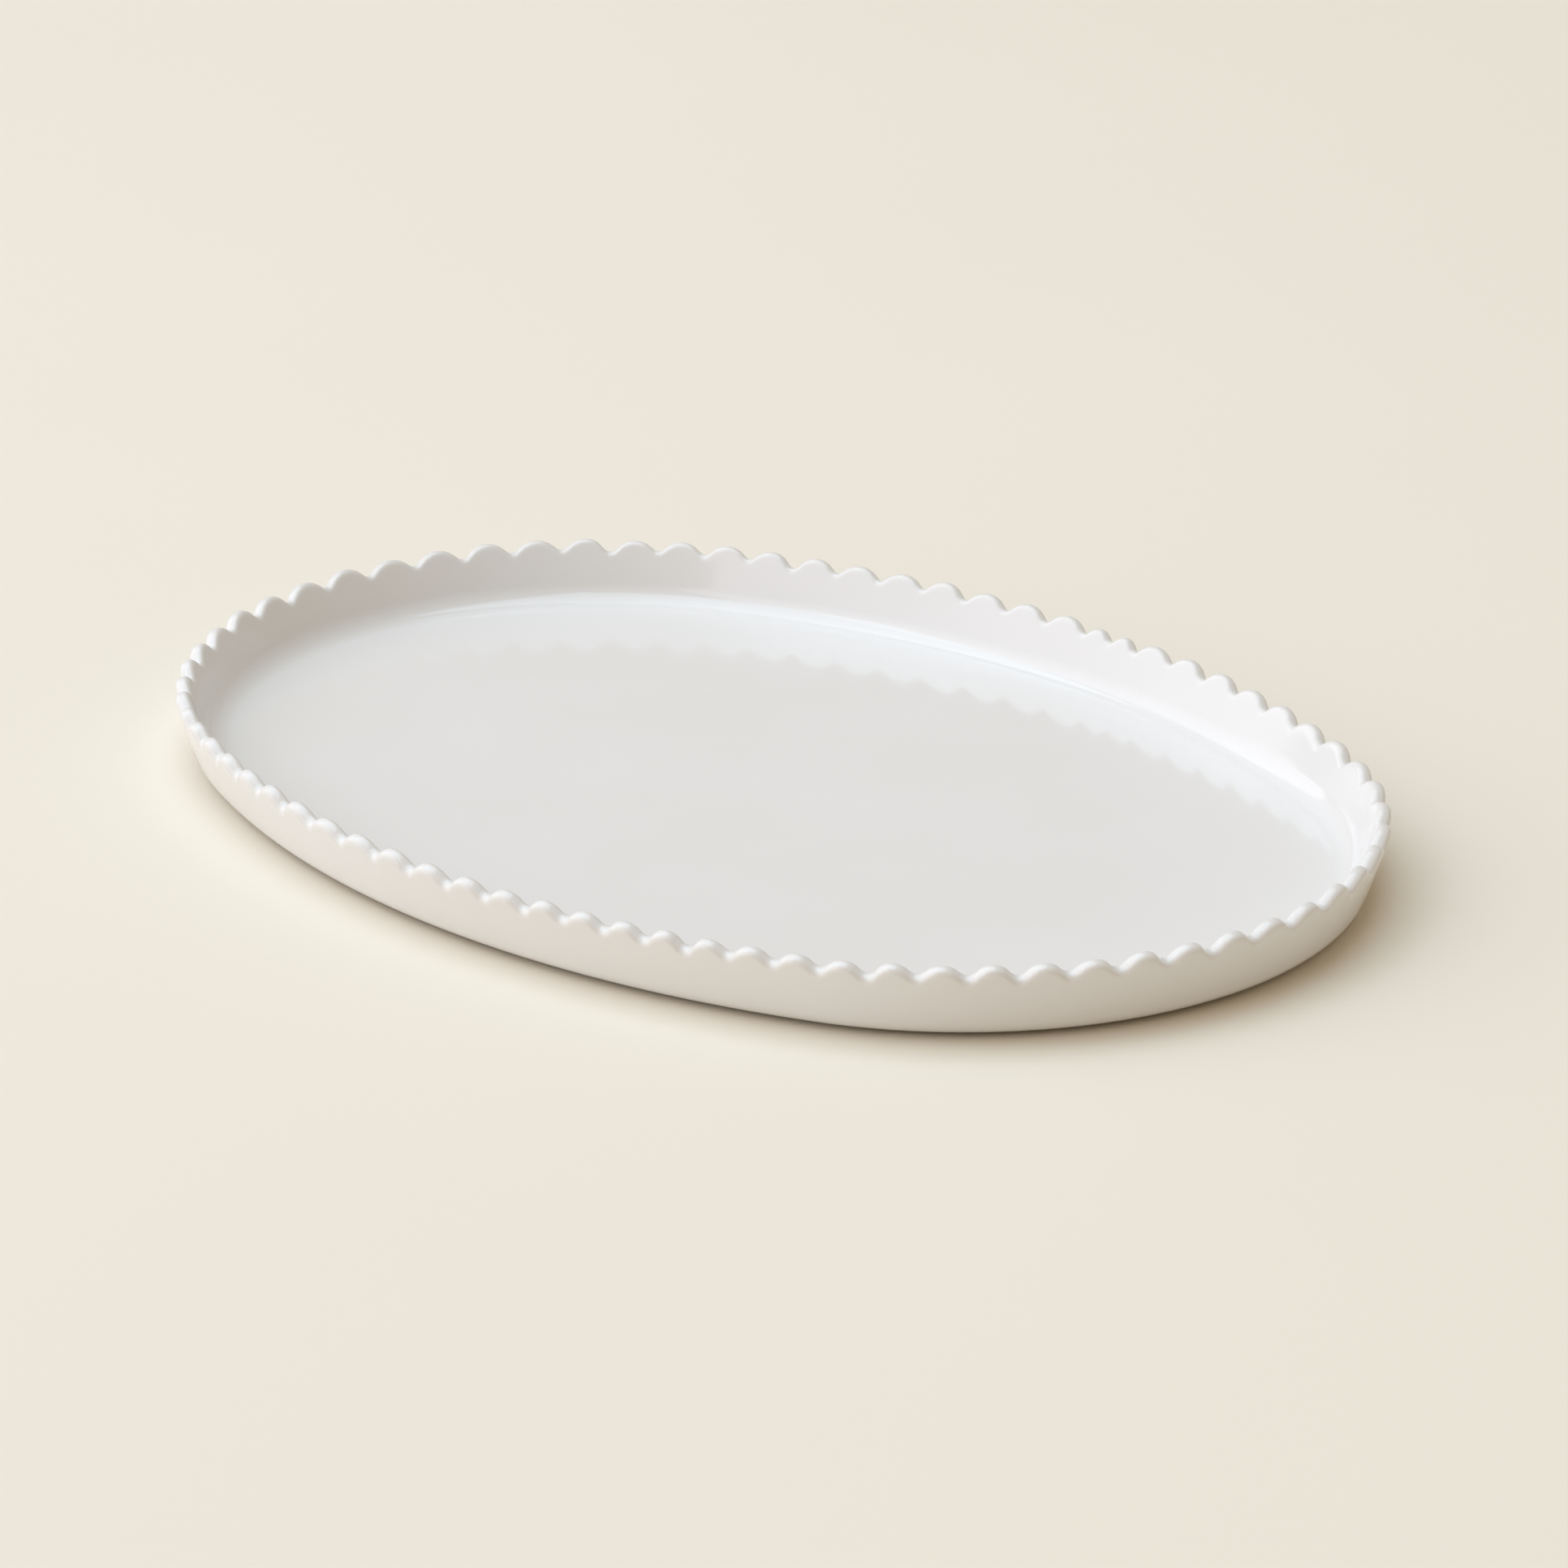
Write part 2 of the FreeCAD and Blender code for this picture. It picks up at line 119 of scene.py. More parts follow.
class ScallopSizes(bpy.types.PropertyGroup):
    """How the rim was cut."""
    count: IntProperty(name="Scallops", description="How many go round the rim", default=72,
                       min=3)
    depth: length("Depth", "From a scallop's tip down to its valleys", 3.8)
    valley_radius: length("Valley radius", "Rounding at the bottom of a valley", 3.0)
    start: length("Start", "Along the rim from the +X end to the first valley", -10.4,
                  low_mm=-1000.0)
    narrow_first: IntProperty(name="First narrow scallop", default=16,
                              description="Index of the first scallop that was cut narrow")
    narrow_count: IntProperty(name="Narrow scallops", default=2,
                              description="How many were cut narrow")
    narrow_width: length("Narrow width", "Width of a narrow scallop", 11.0)
    narrow_drop: length("Narrow drop", "How much lower a narrow scallop's tip is", 1.2)
    depth_waver: length("Depth waver", "How much one valley's depth differs from another", 0.5)
    tip_waver: length("Tip waver", "How far the lowest tips are below the highest", 0.7)


class Looks(bpy.types.PropertyGroup):
    """Colours and gloss of the finishes and the set."""
    glaze: colour("Glaze", "White of the glaze where it is thick", (0.800, 0.800, 0.790))
    glaze_thin: colour("Thin glaze", "Warmer white where it runs thin", (0.760, 0.745, 0.715))
    glaze_gloss: share("Glaze roughness", "Roughness of the glaze", 0.10)
    clay: colour("Clay", "Fired clay", (0.560, 0.470, 0.370))
    clay_dark: colour("Clay specks", "Darker grains in the clay", (0.300, 0.230, 0.165))
    floor: colour("Floor", "Colour of the table", (0.820, 0.772, 0.670))


# how the widths of the scallops swell and shrink: times round the rim, amount, widest scallop
WIDTH_WAVERS = ((1, 0.069, 19.0), (2, 0.036, 5.9), (3, 0.048, 5.9), (4, 0.031, 15.8),
                (5, 0.039, 6.4))


# ---------------------------------------------------------------- the oval and its stations

class Oval:
    """The rim's edge: two end arcs and two side arcs that run smoothly into each other."""

    def __init__(self, sizes):
        half_length = sizes.overall_length / 2
        half_width = sizes.overall_width / 2
        self.end = half_width - sizes.shoulder
        self.end_centre = half_length - self.end
        self.side = self.end_centre ** 2 + half_width ** 2 - self.end ** 2
        self.side /= 2 * sizes.shoulder
        self.side_centre = self.side - half_width
        self.joint = math.atan2(self.side_centre, self.end_centre)

    def around(self, inset):
        """Distance around the oval when it is moved in by inset."""
        quarter = (self.end - inset) * self.joint
        quarter += (self.side - inset) * (math.pi / 2 - self.joint)
        return 4 * quarter

    def at(self, distance, inset):
        """Point on that oval, and the outward direction there."""
        quarter = self.around(inset) / 4
        turn, along = divmod(distance, quarter)
        turn = int(turn) % 4
        if turn % 2 == 1:
            along = quarter - along
        end = self.end - inset
        side = self.side - inset
        if along <= end * self.joint:
            turned = along / end
            x = self.end_centre + end * math.cos(turned)
            y = end * math.sin(turned)
        else:
            turned = self.joint + (along - end * self.joint) / side
            x = side * math.cos(turned)
            y = side * math.sin(turned) - self.side_centre
        flip_x = 1 if turn in (0, 3) else -1
        flip_y = 1 if turn in (0, 1) else -1
        outward = Vector((flip_x * math.cos(turned), flip_y * math.sin(turned), 0))
        return Vector((flip_x * x, flip_y * y, 0)), outward


def narrow_ones(scallops):
    """Indexes of the scallops that were cut narrow."""
    return range(scallops.narrow_first, scallops.narrow_first + scallops.narrow_count)


def scallop_widths(scallops, around):
    """Width of each scallop, in order from the first valley."""
    narrow = narrow_ones(scallops)
    shares = []
    for index in range(scallops.count):
        part = 1.0
        for times, amount, widest in WIDTH_WAVERS:
            part += amount * math.cos(2 * math.pi * times * (index - widest) / scallops.count)
        shares.append(0.0 if index in narrow else part)
    unit = (around - len(narrow) * scallops.narrow_width) / sum(shares)
    return [scallops.narrow_width if index in narrow else part * unit
            for index, part in enumerate(shares)]


# where the small differences between scallops and between valleys are read in the noise
WAVER_STEP = 7.31
WAVER_GAIN = 1.6
WAVER_LEVEL = 0.5
TIP_SEED = 2.5
VALLEY_SEED = 8.5


def waver(index, seed):
    """A steady number from -1 to 1 for one scallop or valley."""
    place = Vector((index * WAVER_STEP, seed, WAVER_LEVEL))
    return max(-1.0, min(1.0, WAVER_GAIN * noise.noise(place)))


def scallop_drop(aside, half_width, depth, valley_radius):
    """How far the rim is below a scallop's tip, aside of the tip.

    A round lobe runs into a small round valley, whose bottom is depth below the tip.
    """
    lobe = (half_width ** 2 + depth ** 2) / (2 * depth) - valley_radius
    turn = math.atan2(half_width, lobe - depth + valley_radius)
    if aside < lobe * math.sin(turn):
        return lobe - math.sqrt(lobe ** 2 - aside ** 2)
    across = half_width - aside
    return depth - valley_radius + math.sqrt(max(0.0, valley_radius ** 2 - across ** 2))


# sections cut across the wall, per scallop; they stand closer together near the valleys
SECTIONS_PER_SCALLOP = 12
VALLEY_CROWDING = 0.6


def stations(sizes, scallops):
    """Where each section across the wall stands: its rim point, outward way and rim drop."""
    oval = Oval(sizes)
    middle = sizes.rim_thickness / 2
    around = oval.around(middle)
    widths = scallop_widths(scallops, around)
    count = len(widths)
    tips = [scallops.tip_waver * (0.5 + 0.5 * waver(index, TIP_SEED)) for index in range(count)]
    for index in narrow_ones(scallops):
        tips[index] = scallops.narrow_drop
    valleys = [scallops.depth + scallops.depth_waver * waver(index, VALLEY_SEED)
               for index in range(count)]
    places = []
    start = scallops.start
    for index, width in enumerate(widths):
        for step in range(SECTIONS_PER_SCALLOP):
            part = step / SECTIONS_PER_SCALLOP
            part -= VALLEY_CROWDING * math.sin(2 * math.pi * part) / (2 * math.pi)
            aside = abs(part - 0.5) * width
            valley = valleys[index] if part < 0.5 else valleys[(index + 1) % count]
            drop = tips[index] + scallop_drop(
                aside, width / 2, valley - tips[index], scallops.valley_radius)
            point, outward = oval.at((start + part * width) % around, middle)
            places.append((point, outward, drop))
        start += width
    return places


# ---------------------------------------------------------------- the section across the wall

# steps along each part of the section, for the glazed surface and for the clay under it
FINE_STEPS = {"under": 8, "wall": 5, "crest": 18, "cove": 12}
COARSE_STEPS = {"under": 4, "wall": 2, "crest": 10, "cove": 5}

# how thin the glaze runs where it ends against the foot ring
FOOT_EDGE_THINNESS = 0.5


class Section:
    """The line that the surface follows from the foot ring, over the rim, to the well.

    coat is how far the surface lies under the glazed one.  fine gives more points.
    Each point is (inset from the rim's edge, height, how thin the glaze runs there).
    """

    def __init__(self, sizes, coat, fine):
        self.sizes = sizes
        self.coat = coat
        self.steps = FINE_STEPS if fine else COARSE_STEPS
        lean = sizes.wall_lean
        self.out = Vector((-math.cos(lean), -math.sin(lean)))
        self.up = Vector((-math.sin(lean), math.cos(lean)))
        self.crest = self.crest_curve()
        self.top_excess = max(point.y for point in self.crest) - sizes.rim_thickness / 2 + coat

    def crest_curve(self):
        """The rim's rounded top, about its own middle: flatter than a half circle."""
        reach = self.sizes.rim_thickness / 2 - self.coat
        power = 2 / self.sizes.rim_squareness
        curve = []
        for step in range(self.steps["crest"] + 1):
            turned = math.pi * step / self.steps["crest"]
            across = math.copysign(abs(math.cos(turned)) ** power, math.cos(turned))
            curve.append(reach * (across * self.out + math.sin(turned) ** power * self.up))
        return curve

    def arc(self, centre, radius, first, last, steps):
        """Points on an arc; an angle of 0 looks out of the platter and 90 degrees looks up."""
        for step in range(steps + 1):
            turned = first + (last - first) * step / steps
            yield centre + radius * Vector((-math.cos(turned), math.sin(turned)))

    def points(self, drop):
        """The whole section at a place where the rim is drop below its full height."""
        sizes = self.sizes
        lean = sizes.wall_lean
        half = sizes.rim_thickness / 2
        bottom = sizes.foot_height
        top = bottom + sizes.floor_thickness
        crest_centre = Vector((half + drop * math.tan(lean), sizes.overall_height - half - drop))
        crest_centre.y -= self.top_excess

        foot_drop = crest_centre.y - half * math.sin(lean)
        foot_drop -= bottom + sizes.underturn_radius * (1 - math.sin(lean))
        outer_foot = crest_centre + half * self.out - foot_drop / math.cos(lean) * self.up
        under_centre = outer_foot - sizes.underturn_radius * self.out
        cove_drop = crest_centre.y + half * math.sin(lean)
        cove_drop -= top + sizes.cove_radius * (1 - math.sin(lean))
        inner_foot = crest_centre - half * self.out - cove_drop / math.cos(lean) * self.up
        cove_centre = inner_foot - sizes.cove_radius * self.out

        under = list(self.arc(under_centre, sizes.underturn_radius - self.coat,
                              -math.pi / 2, -lean, self.steps["under"]))
        cove = list(self.arc(cove_centre, sizes.cove_radius + self.coat,
                             -lean, -math.pi / 2, self.steps["cove"]))
        crest = [crest_centre + point for point in self.crest]
        line = [Vector((sizes.foot_inset, under[0].y))]
        line += under
        line += self.between(under[-1], crest[0])
        line += crest
        line += self.between(crest[-1], cove[0])
        line += cove
        return line

    def between(self, low, high):
        """Points on the straight wall between two arcs."""
        steps = self.steps["wall"]
        return [low.lerp(high, step / steps) for step in range(1, steps)]

    def thinness(self):
        """For each point, how thin the glaze runs there: most at the rim's two edges."""
        under = self.steps["under"] + 2
        walls = self.steps["wall"] - 1
        crest = self.steps["crest"]
        thin = [FOOT_EDGE_THINNESS] + [0.0] * (under - 1 + walls)
        thin += [abs(math.sin(2 * math.pi * step / crest)) ** 2 for step in range(crest + 1)]
        thin += [0.0] * (walls + self.steps["cove"] + 1)
        return thin


# how far the hand-pressed clay strays from the true shape
WALL_STRAY = 0.8 * MM
WALL_RIPPLE = 0.16 * MM
FLOOR_STRAY = 0.25 * MM
RIPPLE_LENGTH = 26 * MM
FLOOR_WAVE_LENGTH = 75 * MM
STRAY_SWING = 1.9
STRAY_LEVEL = 4.5
FLOOR_LEVEL = 0.02


def stray(point, outward, height_share, well_share):
    """Move a point as pressing and drying moved the clay: never outwards, never past the top."""
    slow = noise.noise(Vector((outward.x * STRAY_SWING, outward.y * STRAY_SWING, STRAY_LEVEL)))
    inwards = WALL_STRAY * (0.5 - 0.5 * slow) * height_share
    inwards += WALL_RIPPLE * (0.5 + 0.5 * noise.noise(point / RIPPLE_LENGTH)) * height_share
    moved = point - inwards * outward
    flat = Vector((point.x, point.y, FLOOR_LEVEL)) / FLOOR_WAVE_LENGTH
    moved.z += FLOOR_STRAY * noise.noise(flat) * well_share
    return moved


# ---------------------------------------------------------------- rings into skins

WELL_RINGS = 11
COARSE_WELL_RINGS = 4
MERGE_DISTANCE = 0.001 * MM


def number_ring(ring, layer):
    for index, vert in enumerate(ring):
        vert[layer] = index


def next_ring(bm, ring, layer):
    """Extrude a closed ring of vertices into the next one, in the same order."""
    pairs = zip(ring, ring[1:] + ring[:1])
    edges = [bm.edges.get(pair) for pair in pairs]
    made = bmesh.ops.extrude_edge_only(bm, edges=edges)["geom"]
    following = [None] * len(ring)
    for vert in made:
        if isinstance(vert, bmesh.types.BMVert):
            following[vert[layer]] = vert
    return following


def close_in(bm, ring, layer, rings, height_at):
    """Fill inside a ring with smaller and smaller copies of it, down to one point."""
    outline = [vert.co.copy() for vert in ring]
    for step in range(1, rings):
        shrunk = 1 - step / rings
        ring = next_ring(bm, ring, layer)
        for vert, start in zip(ring, outline):
            vert.co = start * shrunk
            vert.co.z = height_at(vert.co)
    ring = next_ring(bm, ring, layer)
    middle = Vector((0, 0, 0))
    middle.z = height_at(middle)
    bmesh.ops.pointmerge(bm, verts=ring, merge_co=middle)


def cover(bm, ring, layer, thin_layer, sizes, places, coat, fine):
    """Run one surface from a ring at the foot, over the rim and across the well."""
    section = Section(sizes, coat, fine)
    lines = [section.points(drop) for _, _, drop in places]
    thinness = section.thinness()
    rise = sizes.overall_height - sizes.foot_height
    middle = sizes.rim_thickness / 2
    well_height = sizes.foot_height + sizes.floor_thickness - coat
    cove_start = len(thinness) - section.steps["cove"]
    for row, thin in enumerate(thinness):
        if row > 0 or coat > 0:
            ring = next_ring(bm, ring, layer)
        well = max(0.0, (row - cove_start + 1) / section.steps["cove"])
        for index, vert in enumerate(ring):
            point, outward, _ = places[index]
            inset, height = lines[index][row]
            vert[thin_layer] = thin
            place = point + (middle - inset) * outward
            place.z = height
            share_up = min(1.0, max(0.0, (height - sizes.foot_height) / rise)) * (1 - well)
            vert.co = stray(place, outward, share_up, well)

    def well_floor(place):
        still = Vector((0, 0, 0))
        flat = Vector((place.x, place.y, well_height))
        return stray(flat, still, 0.0, 1.0).z

    rings = WELL_RINGS if fine else COARSE_WELL_RINGS
    close_in(bm, ring, layer, rings, well_floor)


def start_ring(bm, sizes, places, height):
    """The ring where the glaze ends against the foot ring."""
    layer = bm.verts.layers.int.new("station")
    thin_layer = bm.verts.layers.float.new("thin")
    ring = bmesh.ops.create_circle(bm, segments=len(places), radius=1.0)["verts"]
    number_ring(ring, layer)
    middle = sizes.rim_thickness / 2
    for vert, (point, outward, _) in zip(ring, places):
        vert.co = point + (middle - sizes.foot_inset) * outward
        vert.co.z = height
    return ring, layer, thin_layer


def finish_piece(bm, name, material, node):
    """Make the mesh an object that stands for a node and rides on the platter's one body."""
    bmesh.ops.recalc_face_normals(bm, faces=bm.faces)
    for face in bm.faces:
        face.smooth = True
    mesh = bpy.data.meshes.new(name)
    bm.to_mesh(mesh)
    bm.free()
    mesh.materials.append(material)
    piece = bpy.data.objects.new(name, mesh)
    bpy.context.scene.collection.objects.link(piece)
    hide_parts(node)
    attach(piece, "root")


# ---------------------------------------------------------------- shader node groups

SURFACE_OUTPUTS = (("Colour", "NodeSocketColor"), ("Roughness", "NodeSocketFloat"),
                   ("Height", "NodeSocketFloat"))


def new_group(name, inputs):
    """An empty group for a surface, with its sockets, and its input and output nodes."""
    group = bpy.data.node_groups.new(name, "ShaderNodeTree")
    for label, socket_type, default in inputs:
        socket = group.interface.new_socket(label, in_out="INPUT", socket_type=socket_type)
        socket.default_value = default
    for label, socket_type in SURFACE_OUTPUTS:
        group.interface.new_socket(label, in_out="OUTPUT", socket_type=socket_type)
    return group, group.nodes.new("NodeGroupInput"), group.nodes.new("NodeGroupOutput")


def add(tree, kind, **settings):
    """Add a node and set its properties."""
    node = tree.nodes.new(kind)
    for name, value in settings.items():
        setattr(node, name, value)
    return node


def noise_texture(tree, where, scale, detail=2.0):
    node = add(tree, "ShaderNodeTexNoise")
    node.inputs["Scale"].default_value = scale
    node.inputs["Detail"].default_value = detail
    tree.links.new(where, node.inputs["Vector"])
    return node.outputs["Fac"]


def ramp(tree, value, low, high, to_low=0.0, to_high=1.0):
    """Map a value from one range to another, held at both ends."""
    node = add(tree, "ShaderNodeMapRange", clamp=True)
    tree.links.new(value, node.inputs["Value"])
    for label, number in zip(("From Min", "From Max", "To Min", "To Max"),
                             (low, high, to_low, to_high)):
        node.inputs[label].default_value = number
    return node.outputs["Result"]


def mix_colours(tree, factor, first, second):
    """Mix two colours, each a socket or a fixed colour."""
    node = add(tree, "ShaderNodeMix", data_type="RGBA")
    tree.links.new(factor, node.inputs["Factor"])
    for label, value in (("A", first), ("B", second)):
        socket = next(item for item in node.inputs
                      if item.name == label and item.type == "RGBA")
        if isinstance(value, bpy.types.NodeSocket):
            tree.links.new(value, socket)
        else:
            socket.default_value = (*value, 1.0)
    return next(item for item in node.outputs if item.type == "RGBA")


def calculate(tree, operation, first, second):
    node = add(tree, "ShaderNodeMath", operation=operation)
    for socket, value in zip(node.inputs, (first, second)):
        if isinstance(value, bpy.types.NodeSocket):
            tree.links.new(value, socket)
        else:
            socket.default_value = value
    return node.outputs[0]


# the glaze's noise scales, in waves per metre
CLOUD_SCALE = 14.0
PINHOLE_SCALE = 30.0
PINHOLE_PATCH_SCALE = 9.0
SMEAR_SCALE = 22.0
PEEL_SCALE = 260.0
SWELL_SCALE = 45.0
PEEL_SHARE = 0.12
PINHOLE_COLOUR = (0.20, 0.17, 0.14)


def glaze_group():
    """Glossy glaze: clouded colour, thin warm edges, pinholes and a faint orange peel."""
    group, inputs, outputs = new_group(
        "glaze_surface",
        (("Vector", "NodeSocketVector", (0, 0, 0)), ("Thin", "NodeSocketFloat", 0.0),
         ("Thick Colour", "NodeSocketColor", (0.8, 0.8, 0.8, 1)),
         ("Thin Colour", "NodeSocketColor", (0.7, 0.7, 0.7, 1)),
         ("Roughness", "NodeSocketFloat", 0.1), ("Pinholes", "NodeSocketFloat", 1.0)),
    )
    where = inputs.outputs["Vector"]
    clouds = noise_texture(group, where, CLOUD_SCALE, detail=3.0)
    clouds = ramp(group, clouds, low=0.35, high=0.75, to_high=0.35)
    edge = ramp(group, inputs.outputs["Thin"], low=0.2, high=1.0, to_high=0.75)
    thin = calculate(group, "MAXIMUM", clouds, edge)
    tone = mix_colours(group, thin, inputs.outputs["Thick Colour"],
                       inputs.outputs["Thin Colour"])

    holes = add(group, "ShaderNodeTexVoronoi", feature="F1")
    holes.inputs["Scale"].default_value = PINHOLE_SCALE
    group.links.new(where, holes.inputs["Vector"])
    rare = noise_texture(group, where, PINHOLE_PATCH_SCALE, detail=0.0)
    rare = ramp(group, rare, low=0.60, high=0.66)
    near = ramp(group, holes.outputs["Distance"], low=0.006, high=0.016, to_low=1.0, to_high=0.0)
    pits = calculate(group, "MULTIPLY", calculate(group, "MULTIPLY", near, rare),
                     inputs.outputs["Pinholes"])
    tone = mix_colours(group, pits, tone, PINHOLE_COLOUR)
    group.links.new(tone, outputs.inputs["Colour"])

    smears = noise_texture(group, where, SMEAR_SCALE, detail=4.0)
    smears = ramp(group, smears, low=0.3, high=0.7, to_low=0.85, to_high=1.25)
    gloss = calculate(group, "MULTIPLY", smears, inputs.outputs["Roughness"])
    group.links.new(gloss, outputs.inputs["Roughness"])

    peel = noise_texture(group, where, PEEL_SCALE, detail=1.0)
    swell = noise_texture(group, where, SWELL_SCALE, detail=1.0)
    height = calculate(group, "ADD", calculate(group, "MULTIPLY", peel, PEEL_SHARE), swell)
    height = calculate(group, "SUBTRACT", height, pits)
    group.links.new(height, outputs.inputs["Height"])
    return group


# the clay's noise scales, in waves per metre
GRAIN_SCALE = 900.0
BLUSH_SCALE = 24.0
RUBBED_SCALE = 60.0
GRIT_SCALE = 1300.0
RUBBED_COLOUR = (0.36, 0.33, 0.29)
DRY_ROUGHNESS = 0.92
RUBBED_ROUGHNESS = 0.62


def clay_group():
    """Fired clay: a warm ground with darker grains and a dry, gritty surface."""
    group, inputs, outputs = new_group(
        "fired_clay_grain",
        (("Vector", "NodeSocketVector", (0, 0, 0)),
         ("Ground", "NodeSocketColor", (0.5, 0.4, 0.3, 1)),
         ("Grain", "NodeSocketColor", (0.3, 0.2, 0.1, 1)),
         ("Wear", "NodeSocketFloat", 0.0)),
    )
    where = inputs.outputs["Vector"]
    grains = noise_texture(group, where, GRAIN_SCALE)
    grains = ramp(group, grains, low=0.58, high=0.70, to_high=0.8)
    blush = noise_texture(group, where, BLUSH_SCALE, detail=4.0)
    blush = ramp(group, blush, low=0.35, high=0.7, to_high=0.35)
    dark = calculate(group, "MAXIMUM", grains, blush)
    tone = mix_colours(group, dark, inputs.outputs["Ground"], inputs.outputs["Grain"])
    rubbed = noise_texture(group, where, RUBBED_SCALE, detail=5.0)
    rubbed = ramp(group, rubbed, low=0.45, high=0.62)
    rubbed = calculate(group, "MULTIPLY", rubbed, inputs.outputs["Wear"])
    tone = mix_colours(group, rubbed, tone, RUBBED_COLOUR)
    group.links.new(tone, outputs.inputs["Colour"])
    dry = ramp(group, rubbed, low=0.0, high=1.0, to_low=DRY_ROUGHNESS, to_high=RUBBED_ROUGHNESS)
    group.links.new(dry, outputs.inputs["Roughness"])
    grit = noise_texture(group, where, GRIT_SCALE, detail=3.0)
    group.links.new(grit, outputs.inputs["Height"])
    return group


def new_material(name, group, values, bump_distance, constants):
    """A Principled material fed by a node group's colour, roughness and height."""
    material = bpy.data.materials.new(name)
    material.use_nodes = True
    tree = material.node_tree
    shader = tree.nodes["Principled BSDF"]
    for label, value in constants.items():
        shader.inputs[label].default_value = value
    place = add(tree, "ShaderNodeTexCoord")
    effect = add(tree, "ShaderNodeGroup", node_tree=group)
    for label, value in values.items():
        effect.inputs[label].default_value = value
    tree.links.new(place.outputs["Object"], effect.inputs["Vector"])
    tree.links.new(effect.outputs["Colour"], shader.inputs["Base Color"])
    tree.links.new(effect.outputs["Roughness"], shader.inputs["Roughness"])
    bump = add(tree, "ShaderNodeBump")
    bump.inputs["Strength"].default_value = 1.0
    bump.inputs["Distance"].default_value = bump_distance
    tree.links.new(effect.outputs["Height"], bump.inputs["Height"])
    tree.links.new(bump.outputs["Normal"], shader.inputs["Normal"])
    return material, effect


GLAZE_BUMP = 0.06 * MM
CLAY_BUMP = 0.10 * MM
GLAZE_IOR = 1.5
CLAY_IOR = 1.45


def shared_group(name, build):
    """The node group of that name, built the first time that it is asked for."""
    return bpy.data.node_groups.get(name) or build()


def glaze_material(name, looks, pinholes):
    group = shared_group("glaze_surface", glaze_group)
    values = {
        "Thick Colour": (*looks.glaze, 1.0),
        "Thin Colour": (*looks.glaze_thin, 1.0),
        "Roughness": looks.glaze_gloss,
        "Pinholes": pinholes,
    }
    material, effect = new_material(name, group, values, GLAZE_BUMP, {"IOR": GLAZE_IOR})
    tree = material.node_tree
    thin = add(tree, "ShaderNodeAttribute", attribute_name="thin")
    tree.links.new(thin.outputs["Fac"], effect.inputs["Thin"])
    return material


def clay_material(name, looks, wear):
    group = shared_group("fired_clay_grain", clay_group)
    values = {
        "Ground": (*looks.clay, 1.0),
        "Grain": (*looks.clay_dark, 1.0),
        "Wear": wear,
    }
    return new_material(name, group, values, CLAY_BUMP, {"IOR": CLAY_IOR})[0]


TABLE_ROUGHNESS = 0.8
TABLE_SHEEN = 0.2
TABLE_CLOUD_SCALE = 3.0
TABLE_LIGHTER = 1.01


def table_material(looks):
    """A plain pale painted table."""
    material = bpy.data.materials.new("pale_table")
    material.use_nodes = True
    tree = material.node_tree
    shader = tree.nodes["Principled BSDF"]
    shader.inputs["Roughness"].default_value = TABLE_ROUGHNESS
    shader.inputs["Specular IOR Level"].default_value = TABLE_SHEEN
    place = add(tree, "ShaderNodeTexCoord")
    clouds = noise_texture(tree, place.outputs["Object"], TABLE_CLOUD_SCALE)
    clouds = ramp(tree, clouds, low=0.3, high=0.7)
    lighter = [min(1.0, TABLE_LIGHTER * value) for value in looks.floor]
    tone = mix_colours(tree, clouds, tuple(looks.floor), tuple(lighter))
    tree.links.new(tone, shader.inputs["Base Color"])
    return material


# ---------------------------------------------------------------- operators

class PLATTER_OT_outer_glaze(bpy.types.Operator):
    """Build the glaze over the wall, the scalloped rim and the well"""
    bl_idname = "platter.outer_glaze"
    bl_label = "Outer glaze"

    def execute(self, context):
        sizes = context.scene.platter_sizes
        places = stations(sizes, context.scene.platter_scallops)
        bm = bmesh.new()
        ring, layer, thin_layer = start_ring(bm, sizes, places, sizes.foot_height)
        cover(bm, ring, layer, thin_layer, sizes, places, 0.0, fine=True)
        cover(bm, ring, layer, thin_layer, sizes, places, sizes.glaze_thickness, fine=False)
        material = glaze_material("white_glaze", context.scene.platter_looks, 1.0)
        finish_piece(bm, "scalloped_glaze", material, "outer_glaze")
        return {"FINISHED"}


class PLATTER_OT_clay_body(bpy.types.Operator):
    """Build the fired clay under the glaze"""
    bl_idname = "platter.clay_body"
    bl_label = "Clay body"

    def execute(self, context):
        sizes = context.scene.platter_sizes
        places = stations(sizes, context.scene.platter_scallops)
        underside = sizes.foot_height + sizes.glaze_thickness
        bm = bmesh.new()
        ring, layer, thin_layer = start_ring(bm, sizes, places, underside)
        close_in(bm, ring, layer, COARSE_WELL_RINGS, lambda place: underside)
        cover(bm, ring, layer, thin_layer, sizes, places, sizes.glaze_thickness, fine=False)
        bmesh.ops.remove_doubles(bm, verts=bm.verts, dist=MERGE_DISTANCE)
        material = clay_material("fired_clay", context.scene.platter_looks, 0.0)
        finish_piece(bm, "fired_clay_body", material, "clay_body")
        return {"FINISHED"}


class PLATTER_OT_underside(bpy.types.Operator):
    """Finish the bare foot ring and the glaze inside it"""
    bl_idname = "platter.underside"
    bl_label = "Underside"

    def execute(self, context):
        looks = context.scene.platter_looks
        finishes = {
            "foot_ring": clay_material("bare_foot", looks, 1.0),
            "base_glaze": glaze_material("underside_glaze", looks, 2.0),
        }
        for node, material in finishes.items():
            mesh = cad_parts[node].data
            mesh.materials.clear()
            mesh.materials.append(material)
        return {"FINISHED"}


